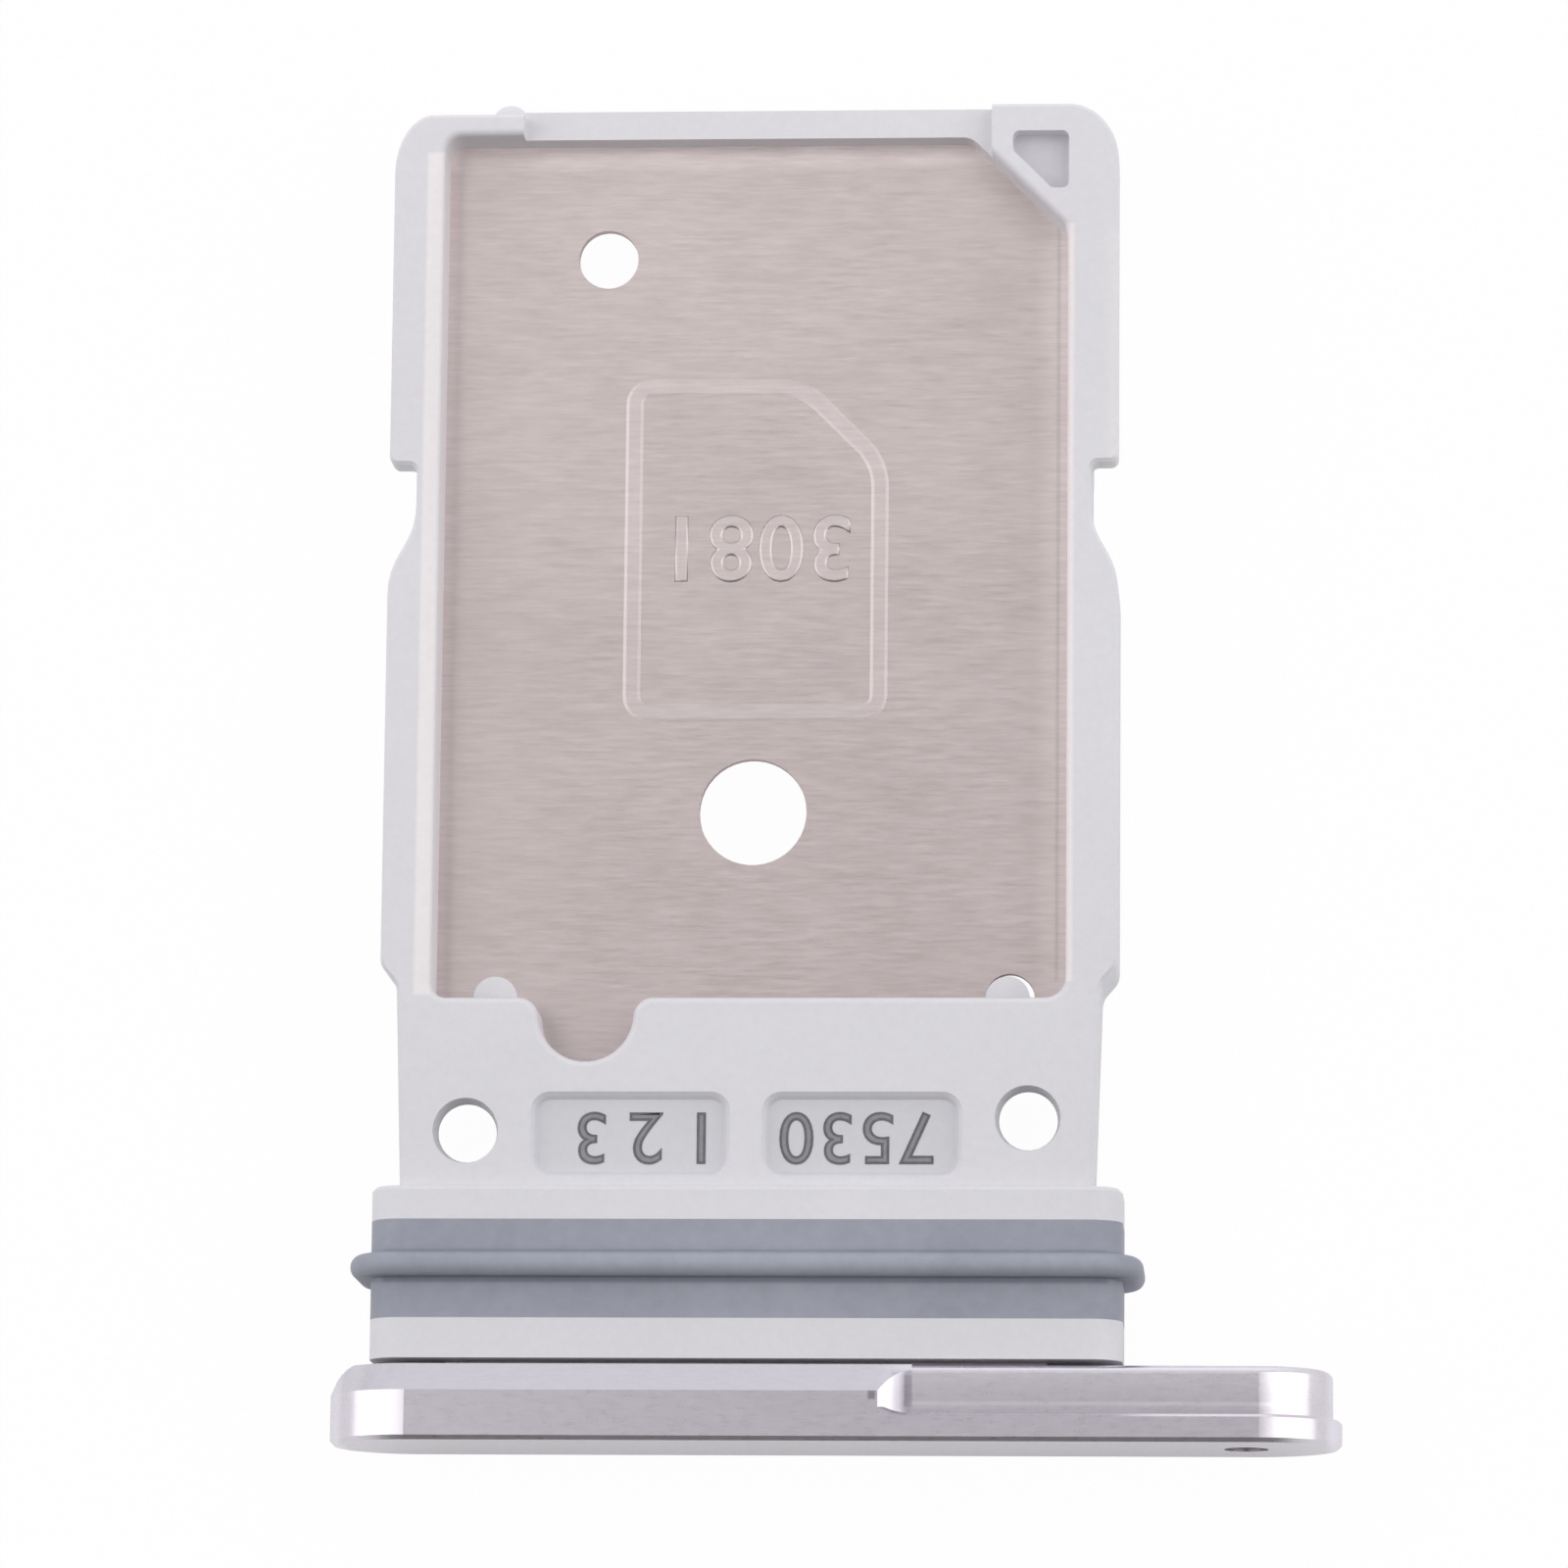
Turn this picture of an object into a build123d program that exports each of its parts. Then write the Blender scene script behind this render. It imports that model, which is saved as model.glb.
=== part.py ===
"""Tray for two nano cards, one on each face, with its outer face plate and its seal.

All sizes are in millimetres. X runs across the tray, Y along the way it slides, from the outer face of the
face plate to the far end, and Z up. The origin is on the middle line of the collar, half way up, at the outer
face of the face plate.
"""
import os
from math import radians, sqrt, tan

from build123d import *

os.makedirs("parts", exist_ok=True)

# Card and the play it has in its seat
card_length = 12.3
card_width = 8.8
card_thickness = 0.67
play_length = 0.15
play_width = 0.1
play_depth = 0.08

# Seat
seat_clip = 1.39
seat_radius_far = 0.25
seat_radius_near_left = 0.2
seat_radius_near_right = 0.3
seat_radius_clip = 0.3
seat_lip_radius = 0.1
notch_radius = 0.67
notch_x = -2.27
notch_inset = 0.235
notch_mouth_radius = 0.28

# Steel sheet between the two cards
sheet_thickness = 0.16
sheet_embed_side = 0.17
sheet_embed_far = 0.2
sheet_embed_near = 0.2
sheet_corner_radius = 0.25
small_hole_diameter = 0.85
small_hole_x = -2.15
small_hole_from_far = 1.66
large_hole_diameter = 1.52
large_hole_from_near = 2.75
anchor_diameter = 0.62
anchor_from_side = 0.835
anchor_inset = 0.09
anchor_gap = 0.07

# Moulded body
rail_wall = 0.72
body_edge_chamfer = 0.05
far_bar_thickness = 0.41
far_bar_drop = 0.33
left_block_width = 1.12
left_block_setback = 0.1
left_corner_width = 0.55
left_corner_length = 0.85
right_corner_width = 0.72
right_corner_length = 0.85
gate_width = 0.48
gate_height = 0.2
gate_from_bar = 0.22
far_rail_length = 5.22
neck_wall = 0.33
neck_length = 0.55
neck_taper_length = 1.35
neck_corner_radius = 0.12
deck_length = 2.67
deck_inset_near = 0.33
deck_inset_far = 0.24
deck_flare_start = 0.06
deck_flare_length = 0.5

# Blind pockets and tooling holes in the body
corner_pocket_side_wall = 0.71
corner_pocket_far_wall = 0.4
corner_pocket_left_wall = 0.3
corner_pocket_clip_wall = 0.23
corner_pocket_near_edge = 0.245
corner_pocket_left_edge = 0.285
corner_pocket_radius = 0.1
corner_pocket_depth = 0.3
code_pocket_length = 1.22
code_pocket_gap = 0.44
code_pocket_from_hole = 0.45
code_pocket_from_collar = 0.11
code_pocket_radius = 0.18
code_pocket_depth = 0.12
code_pocket_draft = 40
deck_hole_mouth = 0.92
deck_hole_throat = 0.82
deck_hole_throat_depth = 0.35
deck_hole_underside = 1.0
deck_hole_from_side = 0.91
left_deck_hole_from_collar = 0.78
right_deck_hole_from_collar = 0.96

# Collar
collar_step_side = 0.08
collar_step_top = 0.12
collar_length = 2.415
collar_corner_radius = 0.45
collar_edge_chamfer = 0.06
collar_gap = 0.085

# Seal in the collar's groove
seal_length = 1.38
seal_from_front = 0.56
seal_thickness = 0.25
bead_length = 0.34
bead_from_back = 0.475
bead_height = 0.29
bead_radius = 0.16

# Face plate
face_overhang_left = 0.59
face_overhang_right = 3.04
face_rim = 0.2
face_thickness = 1.07
face_bevel_length = 0.38
face_bevel_drop = 0.16
face_end_crown = 0.06
face_front_chamfer = 0.06
flange_thickness = 0.385
flange_chamfer = 0.04
boss_inset = 0.125
boss_edge_radius = 0.12
boss_length = 5.94
ramp_radius = 0.93
eject_hole_diameter = 0.62
eject_hole_from_end = 1.33
tongue_side_wall = 0.8
tongue_cover = 0.35
tongue_length = 1.9
tongue_radius = 0.3
tongue_clearance = 0.02
tongue_end_clearance = 0.05

# Sizes and places that follow from the ones above
seat_length = card_length + play_length
seat_width = card_width + play_width
seat_depth = card_thickness + play_depth
body_thickness = sheet_thickness + 2 * seat_depth
sheet_top = sheet_thickness / 2
body_top = body_thickness / 2
collar_front = face_thickness + collar_gap
collar_back = collar_front + collar_length
seat_near = collar_back + deck_length
seat_far = seat_near + seat_length
seat_side = seat_width / 2
body_side = seat_side + rail_wall
neck_side = seat_side + neck_wall
deck_near_side = body_side - deck_inset_near
deck_far_side = body_side - deck_inset_far
far_end = seat_far + far_bar_thickness
notch_y = seat_near - notch_inset
sheet_near = notch_y - notch_radius - sheet_embed_near
sheet_far = seat_far + sheet_embed_far
sheet_side = seat_side + sheet_embed_side
anchor_x = seat_side - anchor_from_side
anchor_y = seat_near + anchor_inset
neck_far = far_end - far_rail_length
neck_near = neck_far - neck_length
taper_near = neck_near - neck_taper_length
flare_near = seat_near + deck_flare_start
flare_far = flare_near + deck_flare_length
seal_front = collar_front + seal_from_front
collar_width = 2 * (body_side + collar_step_side)
collar_height = body_thickness + 2 * collar_step_top
core_width = collar_width - 2 * seal_thickness
core_height = collar_height - 2 * seal_thickness
core_corner_radius = collar_corner_radius - seal_thickness
tongue_width = core_width - 2 * tongue_side_wall
tongue_thickness = core_height - 2 * tongue_cover
face_height = collar_height + 2 * face_rim
face_side = face_height / 2
face_left = -collar_width / 2 - face_overhang_left
face_right = collar_width / 2 + face_overhang_right
left_end_centre = face_left + face_side
right_end_centre = face_right - face_side
boss_side = face_side - boss_inset
boss_start = face_right - boss_length
ramp_start = boss_start - sqrt(boss_inset * (2 * ramp_radius - boss_inset))
bevel_root = face_thickness - face_bevel_length
end_cut_right = face_left + face_bevel_length
chamfer_root = face_side - flange_chamfer
tongue_end = face_thickness + tongue_length
slot_end = tongue_end + tongue_end_clearance
block_end = far_end - left_block_setback
seal_back = seal_front + seal_length
bead_back = seal_back - bead_from_back
bead_width = collar_width + 2 * bead_height
body_root = (seal_back + collar_back) / 2
bar_top = body_top - far_bar_drop
pocket_clip = seat_side + seat_far - seat_clip + corner_pocket_clip_wall * sqrt(2)
pocket_right = body_side - corner_pocket_side_wall
pocket_far = far_end - corner_pocket_far_wall
pocket_near = pocket_clip - pocket_right + corner_pocket_near_edge
pocket_left = pocket_clip - pocket_far + corner_pocket_left_edge
far_bar_right = pocket_left - corner_pocket_left_wall
far_bar_left = seat_side - left_block_width
deck_hole_x = deck_near_side - deck_hole_from_side
code_pocket_width = deck_hole_x - deck_hole_mouth / 2 - code_pocket_from_hole - code_pocket_gap / 2
code_pocket_slope = code_pocket_depth * tan(radians(code_pocket_draft))
code_floor_width = code_pocket_width - 2 * code_pocket_slope
code_floor_length = code_pocket_length - 2 * code_pocket_slope


def s_curve(start, end):
    """A smooth step between two points, which leaves and arrives along Y."""
    reach = (end[1] - start[1]) / 2
    Bezier(start, (start[0], start[1] + reach), (end[0], end[1] - reach), end)


def body_side_line(hand, corner_start):
    """One side of the body's outline, from inside the collar to where the far corner starts."""
    root = (hand * deck_near_side, body_root)
    deck_start = (hand * deck_near_side, collar_back)
    deck_end = (hand * deck_far_side, flare_near)
    rail_start = (hand * body_side, flare_far)
    rail_end = (hand * body_side, taper_near)
    neck_start = (hand * neck_side, neck_near)
    neck_end = (hand * neck_side, neck_far)
    far_rail_start = (hand * body_side, neck_far)
    far_rail_end = (hand * body_side, corner_start)
    Polyline(root, deck_start, deck_end)
    s_curve(deck_end, rail_start)
    Line(rail_start, rail_end)
    s_curve(rail_end, neck_start)
    FilletPolyline(neck_start, neck_end, far_rail_start, far_rail_end, radius=neck_corner_radius)


# Plan of a card seat: a rectangle with one clipped corner
with BuildSketch() as seat_plan:
    with BuildLine():
        FilletPolyline(
            (-seat_side, seat_near),
            (seat_side, seat_near),
            (seat_side, seat_far - seat_clip),
            (seat_side - seat_clip, seat_far),
            (-seat_side, seat_far),
            radius=[
                seat_radius_near_left,
                seat_radius_near_right,
                seat_radius_clip,
                seat_radius_clip,
                seat_radius_far,
            ],
            close=True,
        )
    make_face()

# The same plan with the round notch that lets a nail lift the card
with BuildSketch() as notched_plan:
    add(seat_plan.sketch)
    with Locations((notch_x, notch_y)):
        Circle(notch_radius)
    fillet(notched_plan.vertices().sort_by_distance((notch_x, seat_near))[:2], radius=notch_mouth_radius)

# Plan of the steel sheet, whose edges lie inside the moulding
with BuildSketch() as sheet_plan:
    with BuildLine():
        FilletPolyline(
            (-sheet_side, sheet_near),
            (sheet_side, sheet_near),
            (sheet_side, sheet_far - seat_clip),
            (sheet_side - seat_clip, sheet_far),
            (-sheet_side, sheet_far),
            radius=sheet_corner_radius,
            close=True,
        )
    make_face()
    with Locations((-anchor_x, anchor_y)):
        Circle(anchor_diameter / 2, mode=Mode.SUBTRACT)
    with Locations((anchor_x + anchor_gap / 2, anchor_y)):
        Circle((anchor_diameter + anchor_gap) / 2, mode=Mode.SUBTRACT)

# What is left open between the two seats: all of the seat's plan but the plastic in the anchor holes
with BuildSketch() as open_plan:
    add(notched_plan.sketch)
    with Locations((-anchor_x, anchor_y), (anchor_x, anchor_y)):
        Circle(anchor_diameter / 2, mode=Mode.SUBTRACT)

# Steel sheet
with BuildPart() as card_plate:
    with BuildSketch(Plane.XY.offset(-sheet_top)):
        add(sheet_plan.sketch)
        with Locations((small_hole_x, seat_far - small_hole_from_far)):
            Circle(small_hole_diameter / 2, mode=Mode.SUBTRACT)
        with Locations((0, seat_near + large_hole_from_near)):
            Circle(large_hole_diameter / 2, mode=Mode.SUBTRACT)
    extrude(amount=sheet_thickness)

# Collar, with the groove that holds the seal
with BuildPart() as collar:
    with BuildSketch(Plane.XZ.offset(-collar_back)):
        RectangleRounded(collar_width, collar_height, collar_corner_radius)
    extrude(amount=collar_length)
    chamfer(collar.edges().group_by(Axis.Y)[-1], length=collar_edge_chamfer)
    with BuildSketch(Plane.XZ.offset(-seal_back)):
        Rectangle(collar_width + seal_thickness, collar_height + seal_thickness)
        RectangleRounded(core_width, core_height, core_corner_radius, mode=Mode.SUBTRACT)
    extrude(amount=seal_length, mode=Mode.SUBTRACT)

# Moulded body
with BuildPart() as frame:
    with BuildSketch(Plane.XY.offset(-body_top)):
        with BuildLine():
            body_side_line(1, far_end - right_corner_length)
            EllipticalCenterArc(
                (body_side - right_corner_width, far_end - right_corner_length),
                right_corner_width,
                right_corner_length,
                start_angle=0,
                arc_size=90,
            )
            Polyline(
                (body_side - right_corner_width, far_end),
                (-far_bar_left, far_end),
                (-far_bar_left, block_end),
                (left_corner_width - body_side, block_end),
            )
            EllipticalCenterArc(
                (left_corner_width - body_side, block_end - left_corner_length),
                left_corner_width,
                left_corner_length,
                start_angle=90,
                arc_size=90,
            )
            body_side_line(-1, block_end - left_corner_length)
            Line((-deck_near_side, body_root), (deck_near_side, body_root))
        make_face()
    extrude(amount=body_thickness)
    rims = frame.edges().group_by(Axis.Z)[-1] + frame.edges().group_by(Axis.Z)[0]
    rims = rims.filter_by_position(Axis.Y, body_root, far_end, inclusive=(False, True))
    chamfer(rims, length=body_edge_chamfer)

    # Stub of the gate that the plastic came in through
    with BuildSketch(Plane.XY.offset(-bar_top)):
        with Locations((-far_bar_left - gate_from_bar, block_end)):
            Ellipse(gate_width / 2, gate_height)
    extrude(amount=2 * bar_top)

    # Both card seats, with rounded lips
    with BuildSketch(Plane.XY.offset(sheet_top), Plane.XY.offset(-body_top)):
        add(notched_plan.sketch)
    extrude(amount=seat_depth, mode=Mode.SUBTRACT)
    for outer_face in (frame.faces().sort_by(Axis.Z)[-1], frame.faces().sort_by(Axis.Z)[0]):
        fillet(outer_face.inner_wires()[0].edges(), radius=seat_lip_radius)

    # Room for the steel sheet, and daylight through its holes
    with BuildSketch(Plane.XY.offset(-sheet_top)):
        add(open_plan.sketch)
    extrude(amount=sheet_thickness, mode=Mode.SUBTRACT)
    with BuildSketch(Plane.XY.offset(-sheet_top)):
        add(sheet_plan.sketch)
    extrude(amount=sheet_thickness, mode=Mode.SUBTRACT)

    # The far bar is lower than the rails between its two end blocks
    with BuildSketch(Plane.XY.offset(bar_top), Plane.XY.offset(-body_top)):
        with Locations(((far_bar_right - far_bar_left) / 2, far_end)):
            Rectangle(far_bar_left + far_bar_right, 2 * seat_clip)
    extrude(amount=far_bar_drop, mode=Mode.SUBTRACT)

    # Blind pocket in the corner block
    with BuildSketch(Plane.XY.offset(body_top - corner_pocket_depth)):
        with BuildLine():
            FilletPolyline(
                (pocket_left, pocket_far),
                (pocket_right, pocket_far),
                (pocket_right, pocket_near),
                (pocket_clip - pocket_near, pocket_near),
                (pocket_left, pocket_clip - pocket_left),
                radius=corner_pocket_radius,
                close=True,
            )
        make_face()
    extrude(amount=corner_pocket_depth, mode=Mode.SUBTRACT)

    # Two shallow pockets for the mould's numbers
    with BuildSketch(Plane.XY.offset(body_top - code_pocket_depth)):
        with Locations((0, collar_back + code_pocket_from_collar + code_pocket_length / 2)):
            with GridLocations(code_pocket_width + code_pocket_gap, 0, 2, 1):
                RectangleRounded(code_floor_width, code_floor_length, code_pocket_radius)
    extrude(amount=code_pocket_depth, taper=-code_pocket_draft, mode=Mode.SUBTRACT)

    # Tooling holes, which narrow to a throat and open out below it
    with Locations(
        (-deck_hole_x, collar_back + left_deck_hole_from_collar, body_top),
        (deck_hole_x, collar_back + right_deck_hole_from_collar, body_top),
    ):
        Cone(
            deck_hole_throat / 2,
            deck_hole_mouth / 2,
            deck_hole_throat_depth,
            align=(Align.CENTER, Align.CENTER, Align.MAX),
            mode=Mode.SUBTRACT,
        )
        with Locations((0, 0, -deck_hole_throat_depth)):
            Cylinder(
                deck_hole_underside / 2,
                body_thickness - deck_hole_throat_depth,
                align=(Align.CENTER, Align.CENTER, Align.MAX),
                mode=Mode.SUBTRACT,
            )

    # Collar, and the slot in it for the face plate's tongue
    add(collar.part)
    with BuildSketch(Plane.XY.offset(-tongue_thickness / 2 - tongue_clearance)) as tongue_slot:
        with Locations((0, slot_end)):
            Rectangle(tongue_width + 2 * tongue_clearance, slot_end, align=(Align.CENTER, Align.MAX))
        fillet(tongue_slot.vertices().group_by(Axis.Y)[-1], radius=tongue_radius + tongue_clearance)
    extrude(amount=tongue_thickness + 2 * tongue_clearance, mode=Mode.SUBTRACT)

# Seal: a band in the collar's groove with one bead all round
with BuildPart() as bead:
    with BuildSketch(Plane.XZ.offset(-bead_back)):
        RectangleRounded(bead_width, collar_height + 2 * bead_height, collar_corner_radius + bead_height)
    extrude(amount=bead_length)
    fillet(bead.edges().group_by(Axis.Y)[-1], radius=bead_radius)
    fillet(bead.edges().group_by(Axis.Y)[0], radius=bead_radius)

with BuildPart() as seal:
    with BuildSketch(Plane.XZ.offset(-seal_back)):
        RectangleRounded(collar_width, collar_height, collar_corner_radius)
    extrude(amount=seal_length)
    add(bead.part)
    with BuildSketch(Plane.XZ.offset(-seal_back)):
        RectangleRounded(core_width, core_height, core_corner_radius)
    extrude(amount=seal_length, mode=Mode.SUBTRACT)

# Upper half of the face plate's section, with a shallow bevel at its back edge
with BuildSketch(Plane.YZ.offset(left_end_centre)) as face_section:
    with BuildLine():
        Polyline(
            (face_thickness, 0),
            (0, 0),
            (0, face_side - face_front_chamfer),
            (face_front_chamfer, face_side),
            (bevel_root, face_side),
            (face_thickness, face_side - face_bevel_drop),
            close=True,
        )
    make_face()

# Upper half of its section at the milled end: a thin outer flange, and behind it a smaller boss
with BuildSketch(Plane.YZ.offset(boss_start)) as milled_section:
    with BuildLine():
        Polyline(
            (face_thickness, boss_side - boss_edge_radius),
            (face_thickness, 0),
            (0, 0),
            (0, face_side - face_front_chamfer),
            (face_front_chamfer, face_side),
            (flange_thickness - flange_chamfer, face_side),
            (flange_thickness, chamfer_root),
            (flange_thickness, boss_side),
            (face_thickness - boss_edge_radius, boss_side),
        )
        RadiusArc(
            (face_thickness - boss_edge_radius, boss_side),
            (face_thickness, boss_side - boss_edge_radius),
            boss_edge_radius,
        )
    make_face()

# What is trimmed off the plate's left end, so that its back corner is round, seen from above
with BuildPart() as end_cut:
    with BuildSketch():
        with BuildLine():
            SagittaArc((face_left, bevel_root), (end_cut_right, face_thickness), face_end_crown)
            Polyline((end_cut_right, face_thickness), (face_left, face_thickness), (face_left, bevel_root))
        make_face()
    extrude(amount=face_side, both=True)

# Where the round cutter that milled the boss ran out: a hollow ramp above and below, beside a round wall
with BuildPart() as ramp_cut:
    with BuildSketch() as ramp_plan:
        with Locations((boss_start, flange_thickness)):
            Rectangle(2 * ramp_radius, 2 * face_thickness, align=(Align.CENTER, Align.MIN))
        fillet(ramp_plan.vertices().group_by(Axis.Y)[0].sort_by(Axis.X)[0], radius=ramp_radius)
    extrude(amount=chamfer_root)
    with BuildSketch(Plane.XY.offset(chamfer_root)):
        add(ramp_plan.sketch)
    extrude(amount=2 * flange_chamfer, taper=-45)
    with BuildSketch(Plane.XZ.offset(-2 * face_thickness)):
        with BuildLine():
            RadiusArc((ramp_start, face_side), (boss_start, boss_side), -ramp_radius)
            Polyline(
                (boss_start, boss_side),
                (boss_start, face_height),
                (ramp_start, face_height),
                (ramp_start, face_side),
            )
        make_face()
    extrude(amount=2 * face_thickness, mode=Mode.INTERSECT)
    mirror(about=Plane.XY)

# Face plate, with the tongue that holds it in the collar
with BuildPart() as face_plate:
    extrude(face_section.sketch, amount=boss_start - left_end_centre)
    extrude(milled_section.sketch, amount=right_end_centre - boss_start)
    mirror(about=Plane.XY)
    revolve(face_section.sketch, axis=Axis((left_end_centre, 0, 0), (0, -1, 0)), revolution_arc=180)
    right_end_section = Pos(right_end_centre - boss_start, 0, 0) * milled_section.sketch
    revolve(right_end_section, axis=Axis((right_end_centre, 0, 0), (0, 1, 0)), revolution_arc=180)
    add(end_cut.part, mode=Mode.SUBTRACT)
    add(ramp_cut.part, mode=Mode.SUBTRACT)
    with BuildSketch(Plane.XY.offset(-tongue_thickness / 2)) as tongue:
        with Locations((0, tongue_end)):
            Rectangle(tongue_width, tongue_length + flange_thickness, align=(Align.CENTER, Align.MAX))
        fillet(tongue.vertices().group_by(Axis.Y)[-1], radius=tongue_radius)
    extrude(amount=tongue_thickness)
    with BuildSketch(Plane.XZ.offset(-face_thickness)):
        with Locations((face_right - eject_hole_from_end, 0)):
            Circle(eject_hole_diameter / 2)
    extrude(amount=face_thickness, mode=Mode.SUBTRACT)

card_plate.part.label = "card_plate"
frame.part.label = "frame"
seal.part.label = "seal"
face_plate.part.label = "face_plate"

export_step(card_plate.part, "parts/card_plate.step")
export_step(frame.part, "parts/frame.step")
export_step(seal.part, "parts/seal.step")
export_step(face_plate.part, "parts/face_plate.step")
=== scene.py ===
"""Looks of a tray for two nano cards: moulded frame, steel sheet, rubber seal and metal face plate.

Everything is in metres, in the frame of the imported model: X across the tray, Y from the outer face of the
face plate to the far end, Z up out of the upper card seat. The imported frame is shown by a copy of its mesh
that is cut finer.
"""

import math

import bpy
from mathutils import Matrix, Vector


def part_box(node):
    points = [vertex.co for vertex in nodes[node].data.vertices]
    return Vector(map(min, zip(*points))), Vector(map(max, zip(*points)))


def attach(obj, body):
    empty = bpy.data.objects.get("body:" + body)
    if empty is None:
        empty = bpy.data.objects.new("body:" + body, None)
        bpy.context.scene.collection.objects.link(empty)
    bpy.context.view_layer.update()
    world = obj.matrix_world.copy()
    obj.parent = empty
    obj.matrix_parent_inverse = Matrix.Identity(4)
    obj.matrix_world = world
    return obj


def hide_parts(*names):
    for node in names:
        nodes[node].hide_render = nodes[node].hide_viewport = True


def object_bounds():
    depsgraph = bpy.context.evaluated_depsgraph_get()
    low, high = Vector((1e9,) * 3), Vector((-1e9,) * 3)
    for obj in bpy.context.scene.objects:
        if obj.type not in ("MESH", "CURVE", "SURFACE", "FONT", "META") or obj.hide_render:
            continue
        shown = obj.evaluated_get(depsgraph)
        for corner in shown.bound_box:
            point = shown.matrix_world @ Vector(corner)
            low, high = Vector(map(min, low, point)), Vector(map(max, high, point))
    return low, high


MM = 0.001

# Camera, as worked out from the photograph
PHOTO_SIDE_PX = 1600
FOCAL_PX = 8214
SENSOR_WIDTH_MM = 36
CAMERA_TARGET = (0.432 * MM, 9.408 * MM, 0)
CAMERA_DISTANCE = 113.9 * MM
CAMERA_TILT_X = math.radians(3.80)
CAMERA_TILT_Y = math.radians(10.23)
CAMERA_ROLL = math.radians(0.563)
CLIP_START = 0.005
CLIP_END = 20

# Studio
TRAY_MIDDLE_Y = 10 * MM
WALL_BRIGHTNESS = 1.12
WALL_COLOURS = (
    (0.35, (0.2, 0.195, 0.2, 1)),
    (0.6, (0.445, 0.435, 0.445, 1)),
    (0.84, (0.66, 0.67, 0.7, 1)),
)
FRONT_WALL_COLOUR = (0.02, 0.02, 0.021, 1)
BACK_WALL_COLOUR = (0.97, 0.985, 1, 1)
WHITE = (1, 1, 1, 1)
FLOOR_SIZE = 1.2
FLOOR_COLOUR = (0.9, 0.9, 0.9, 1)
FLOOR_GLOW_SEEN = 0.975
FLOOR_GLOW_IN_METAL = 0.3
SOFTBOX_DISTANCE = 0.25
SOFTBOX_POWER = 3.75

# Meshes
SMOOTH_ANGLE = math.radians(28)
MERGE_DISTANCE = 1e-7

# Sockets of the Mix node, for numbers and for colours
NUMBER_A, NUMBER_B, NUMBER_RESULT = 2, 3, 0
COLOUR_A, COLOUR_B, COLOUR_RESULT = 6, 7, 2

# Range that noise around one half is taken to fill
NOISE_LOW = 0.3
NOISE_HIGH = 0.7

# Steel sheet and what is stamped into it
STAMP_RELIEF = 0.008 * MM
STAMP_SLOPE = 0.045 * MM
STAMP_LEFT = -1.87 * MM
STAMP_RIGHT = 1.89 * MM
STAMP_NEAR = 10.30 * MM
STAMP_FAR = 15.27 * MM
STAMP_LINE = 0.25 * MM
STAMP_CLIP = 1.18 * MM
STAMP_CORNER = 0.36 * MM
STAMP_NUMBER = "3081"
STAMP_NUMBER_HEIGHT = 0.92 * MM
STAMP_NUMBER_Y = 12.85 * MM
STAMP_NUMBER_SLOPE = 0.035 * MM
STAMP_NUMBER_WEIGHT = 0.03 * MM
STAMP_NUMBER_SPACING = 1.08
STAMP_START_THICKNESS = 1e-6

# Numbers on the floors of the two shallow pockets: side, text, place across the tray and spacing
BODY_TOP = 0.83 * MM
POCKET_FLOOR = BODY_TOP - 0.12 * MM
POCKET_NUMBER_HEIGHT = 0.72 * MM
POCKET_NUMBER_Y = 4.30 * MM
POCKET_NUMBERS = (("left", "123", -1.40 * MM, 1.5), ("right", "7530", 1.55 * MM, 1.1))
WALL_WEIGHT = 0.012 * MM
WALL_RELIEF = 0.006 * MM
FLOOR_WEIGHT = -0.024 * MM
FLOOR_RELIEF = 0.0078 * MM

# Share of a font's size that its figures stand high
FIGURE_SHARE = 0.7

# Outer steps of the far rails, which are thinner than the rails
STEP_CUT_NEAR = 13.68 * MM
STEP_SIDE = 4.785 * MM
STEP_BOTTOM = 0.35 * MM

# Lower part of the two deck holes, which opens out towards the underside
DECK_HOLES = ((-3.93 * MM, 4.35 * MM), (3.93 * MM, 4.53 * MM))
HOLE_CONE_TOP = 0.4 * MM
HOLE_CONE_BOTTOM = -0.9 * MM
HOLE_CONE_TOP_RADIUS = 0.475 * MM
HOLE_CONE_BOTTOM_RADIUS = 0.713 * MM
HOLE_CONE_SIDES = 96

# Darker and lighter end of each pattern
PLASTIC_COLOURS = ((0.722, 0.71, 0.738, 1), (0.782, 0.77, 0.793, 1))
STEEL_COLOURS = ((0.60, 0.52, 0.505, 1), (0.73, 0.648, 0.632, 1))
STAMPED_STEEL_COLOURS = ((0.63, 0.55, 0.54, 1), (0.76, 0.68, 0.67, 1))
ALUMINIUM_COLOURS = ((0.692, 0.657, 0.706, 1), (0.75, 0.715, 0.765, 1))
RUBBER_COLOURS = ((0.282, 0.296, 0.35, 1), (0.36, 0.374, 0.432, 1))
# Painted shade of the numbers cut into the pocket floors: darkest on the groove walls, less dark on the
# groove floors
GROOVE_WALL_SHADE_COLOURS = ((0.10, 0.10, 0.11, 1), (0.17, 0.17, 0.18, 1))
GROOVE_FLOOR_SHADE_COLOURS = ((0.22, 0.22, 0.23, 1), (0.30, 0.30, 0.31, 1))
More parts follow.
